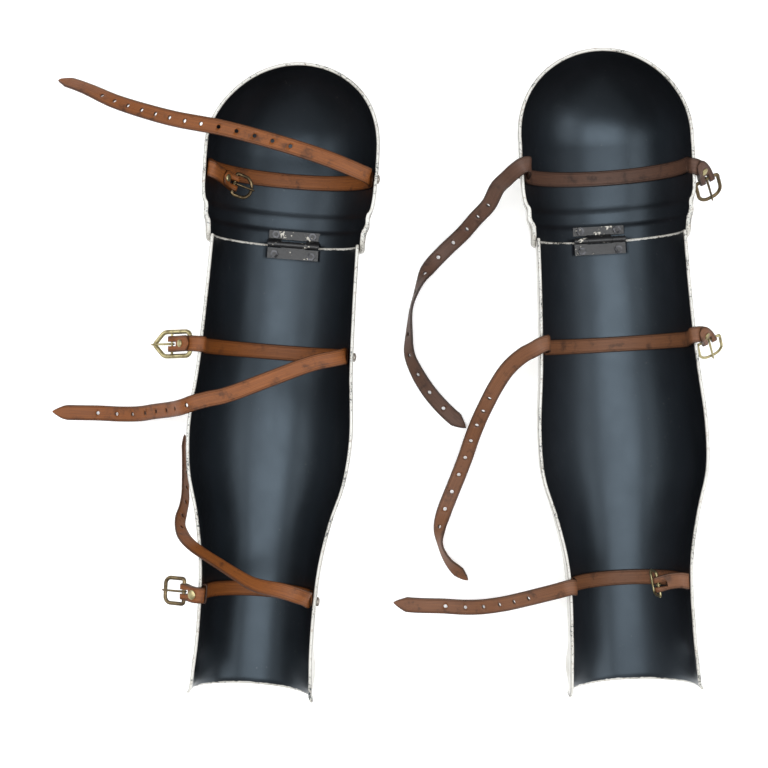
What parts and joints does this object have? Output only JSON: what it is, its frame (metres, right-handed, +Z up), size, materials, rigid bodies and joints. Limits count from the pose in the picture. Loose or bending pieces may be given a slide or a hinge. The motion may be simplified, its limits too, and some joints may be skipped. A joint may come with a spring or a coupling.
{
  "type": "pair of leg guards",
  "caption": "Two rigid hollow shin guards with hinged knee cups, each with buckle straps, lying on their fronts with the hollow side up.",
  "frame": {"origin": "centre of the pair's bounding box on the floor", "axes": "+Z up out of the hollow side, +Y towards the knee end, +X from the left-hand guard to the right-hand one"},
  "size_m": [0.6554, 0.6192, 0.1027],
  "materials": {
    "shell": "satin black inside, cream paint outside and on the edges",
    "leather": "worn brown",
    "dark_leather": "dark worn brown",
    "brass": "aged",
    "dark_brass": "dark aged",
    "hinge_steel": "black paint",
    "rivet_steel": "dull"
  },
  "bodies": {
    "left_shin": {"left_shin_shell": "shell", "left_hinge_leaf_lower": "hinge_steel", "left_hinge_pin": "hinge_steel", "left_hinge_bolts_lower": "hinge_steel", "left_hinge_nuts_lower": "hinge_steel", "left_calf_buckle_strap": "leather", "left_calf_billet": "leather", "left_ankle_buckle_strap": "leather", "left_ankle_billet": "leather", "left_shin_wall_rivets": "rivet_steel", "left_shin_strap_rivets": "brass", "left_ankle_keeper": "leather"},
    "left_cup": {"left_knee_cup": "shell", "left_hinge_leaf_upper": "hinge_steel", "left_hinge_bolts_upper": "hinge_steel", "left_hinge_nuts_upper": "hinge_steel", "left_knee_buckle_strap": "leather", "left_knee_billet": "leather", "left_knee_wall_rivet": "rivet_steel", "left_knee_strap_rivet": "brass"},
    "left_knee_frame": {"left_knee_buckle_frame": "dark_brass"},
    "left_knee_prong": {"left_knee_buckle_prong": "dark_brass"},
    "left_calf_frame": {"left_calf_buckle_frame": "brass"},
    "left_calf_prong": {"left_calf_buckle_prong": "brass"},
    "left_ankle_frame": {"left_ankle_buckle_frame": "dark_brass"},
    "left_ankle_prong": {"left_ankle_buckle_prong": "dark_brass"},
    "right_shin": {"right_shin_shell": "shell", "right_hinge_leaf_lower": "hinge_steel", "right_hinge_pin": "hinge_steel", "right_hinge_bolts_lower": "hinge_steel", "right_hinge_nuts_lower": "hinge_steel", "right_calf_buckle_strap": "leather", "right_calf_billet": "leather", "right_ankle_buckle_strap": "leather", "right_ankle_billet": "leather", "right_shin_wall_rivets": "rivet_steel", "right_shin_strap_rivets": "brass"},
    "right_cup": {"right_knee_cup": "shell", "right_hinge_leaf_upper": "hinge_steel", "right_hinge_bolts_upper": "hinge_steel", "right_hinge_nuts_upper": "hinge_steel", "right_knee_buckle_strap": "dark_leather", "right_knee_billet": "dark_leather", "right_knee_wall_rivet": "rivet_steel", "right_knee_strap_rivet": "brass"},
    "right_knee_frame": {"right_knee_buckle_frame": "brass"},
    "right_knee_prong": {"right_knee_buckle_prong": "brass"},
    "right_calf_frame": {"right_calf_buckle_frame": "brass"},
    "right_calf_prong": {"right_calf_buckle_prong": "brass"},
    "right_ankle_frame": {"right_ankle_buckle_frame": "brass"},
    "right_ankle_prong": {"right_ankle_buckle_prong": "brass"}
  },
  "joints": [
    {"name": "pair_spacing", "type": "slide", "parent": "left_shin", "child": "right_shin", "axis": [1, 0, 0], "range_m": [0, 0.2]},
    {"name": "left_knee_hinge", "type": "hinge", "parent": "left_shin", "child": "left_cup", "pos_m": [-0.09054, 0.1296, 0.019], "axis": [0.9969, -0.0785, 0], "range_deg": [0, 37]},
    {"name": "right_knee_hinge", "type": "hinge", "parent": "right_shin", "child": "right_cup", "pos_m": [0.21696, 0.1345, 0.019], "axis": [0.9983, 0.0576, 0], "range_deg": [0, 37]},
    {"name": "left_knee_buckle_swing", "type": "hinge", "parent": "left_cup", "child": "left_knee_frame", "pos_m": [-0.14037, 0.18468, 0.062], "axis": [-0.2513, -0.9605, 0.1198], "range_deg": [0, 50]},
    {"name": "left_knee_prong_swing", "type": "hinge", "parent": "left_knee_frame", "child": "left_knee_prong", "pos_m": [-0.14037, 0.18468, 0.062], "axis": [-0.2513, -0.9605, 0.1198], "range_deg": [0, 45]},
    {"name": "left_calf_buckle_swing", "type": "hinge", "parent": "left_shin", "child": "left_calf_frame", "pos_m": [-0.19863, 0.03078, 0.073], "axis": [0.0019, 0.9991, -0.0421], "range_deg": [0, 35]},
    {"name": "left_calf_prong_swing", "type": "hinge", "parent": "left_calf_frame", "child": "left_calf_prong", "pos_m": [-0.19863, 0.03078, 0.073], "axis": [0.0019, 0.9991, -0.0421], "range_deg": [0, 45]},
    {"name": "left_ankle_buckle_swing", "type": "hinge", "parent": "left_shin", "child": "left_ankle_frame", "pos_m": [-0.187, -0.20386, 0.075], "axis": [0.0385, 0.9991, -0.02], "range_deg": [0, 50]},
    {"name": "left_ankle_prong_swing", "type": "hinge", "parent": "left_ankle_frame", "child": "left_ankle_prong", "pos_m": [-0.187, -0.20386, 0.075], "axis": [0.0385, 0.9991, -0.02], "range_deg": [0, 45]},
    {"name": "right_knee_buckle_swing", "type": "hinge", "parent": "right_cup", "child": "right_knee_frame", "pos_m": [0.3081, 0.18683, 0.076], "axis": [-0.8879, -0.4601, -0.0023], "range_deg": [0, 50]},
    {"name": "right_knee_prong_swing", "type": "hinge", "parent": "right_knee_frame", "child": "right_knee_prong", "pos_m": [0.3081, 0.18683, 0.076], "axis": [-0.8879, -0.4601, -0.0023], "range_deg": [0, 45]},
    {"name": "right_calf_buckle_swing", "type": "hinge", "parent": "right_shin", "child": "right_calf_frame", "pos_m": [0.30986, 0.03468, 0.077], "axis": [-0.9012, -0.4333, 0], "range_deg": [0, 50]},
    {"name": "right_calf_prong_swing", "type": "hinge", "parent": "right_calf_frame", "child": "right_calf_prong", "pos_m": [0.30986, 0.03468, 0.077], "axis": [-0.9012, -0.4333, 0], "range_deg": [0, 45]},
    {"name": "right_ankle_buckle_swing", "type": "hinge", "parent": "right_shin", "child": "right_ankle_frame", "pos_m": [0.26314, -0.19739, 0.073], "axis": [0.1941, -0.9809, -0.0137], "range_deg": [-25, 25]},
    {"name": "right_ankle_prong_swing", "type": "hinge", "parent": "right_ankle_frame", "child": "right_ankle_prong", "pos_m": [0.26314, -0.19739, 0.073], "axis": [0.1941, -0.9809, -0.0137], "range_deg": [0, 25]}
  ]
}
